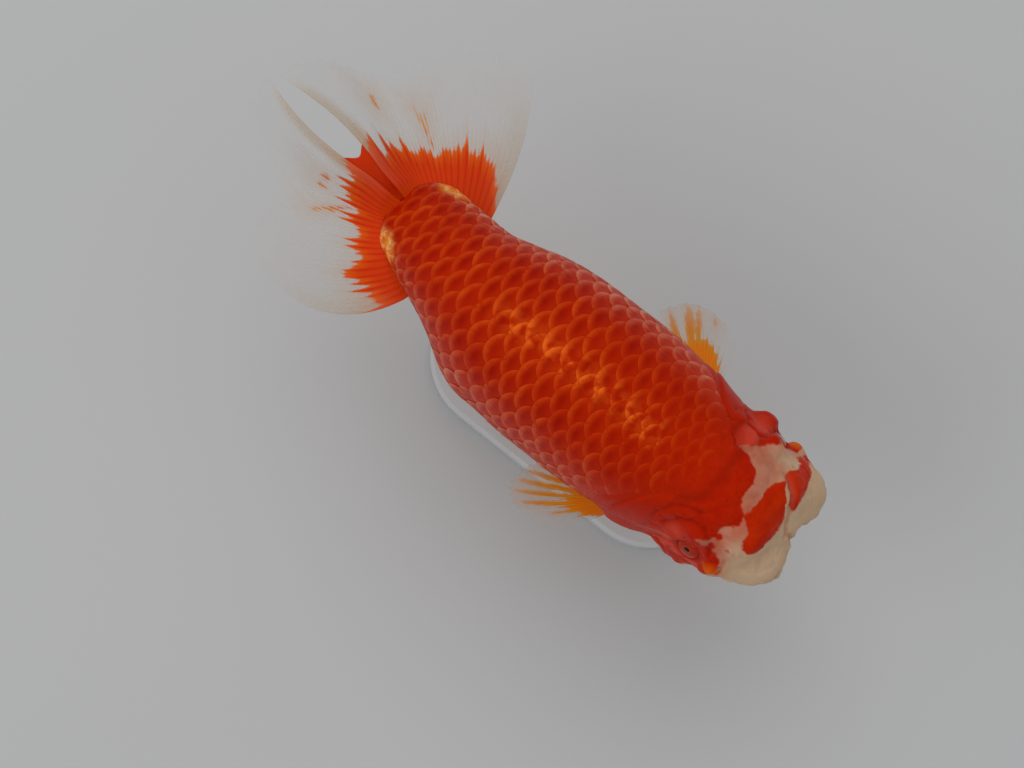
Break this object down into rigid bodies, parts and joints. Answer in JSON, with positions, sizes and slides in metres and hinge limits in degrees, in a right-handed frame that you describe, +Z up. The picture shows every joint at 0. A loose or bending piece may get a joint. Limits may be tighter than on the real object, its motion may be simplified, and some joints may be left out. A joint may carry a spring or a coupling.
{
  "type": "goldfish model",
  "caption": "Life-size ranchu goldfish, red-orange with a pale snout and clear twin tail, swimming with its tail swung left, on a plain two-rod stand.",
  "frame": {"origin": "middle of the underside of the stand's base", "axes": "+X towards the fish's snout, +Y towards its left side, +Z up"},
  "size_m": [0.1571, 0.0822, 0.0868],
  "materials": {
    "skin": "wet gloss over fine scales",
    "snout": "soft gloss, cream to orange-red",
    "fin": "thin, clear, rayed, orange at the roots",
    "eye": "high gloss",
    "stand_paint": "satin",
    "rod_steel": "brushed"
  },
  "bodies": {
    "root": {"gill_cover_left": "skin", "gill_cover_right": "skin", "snout_lobe_left": "snout", "snout_lobe_right": "snout", "hood": "skin", "head": "skin", "trunk": "skin", "tail_stalk": "skin", "mouth": "snout", "eye_left": "eye", "eye_right": "eye", "tail_upper_left": "fin", "tail_lower_left": "fin", "tail_upper_right": "fin", "tail_lower_right": "fin", "pectoral_fin_left": "fin", "pectoral_fin_right": "fin", "pelvic_fin_left": "fin", "pelvic_fin_right": "fin", "anal_fin_left": "fin", "anal_fin_right": "fin", "stand_base": "stand_paint", "stand_rod_front": "rod_steel", "stand_rod_rear": "rod_steel"}
  },
  "joints": []
}
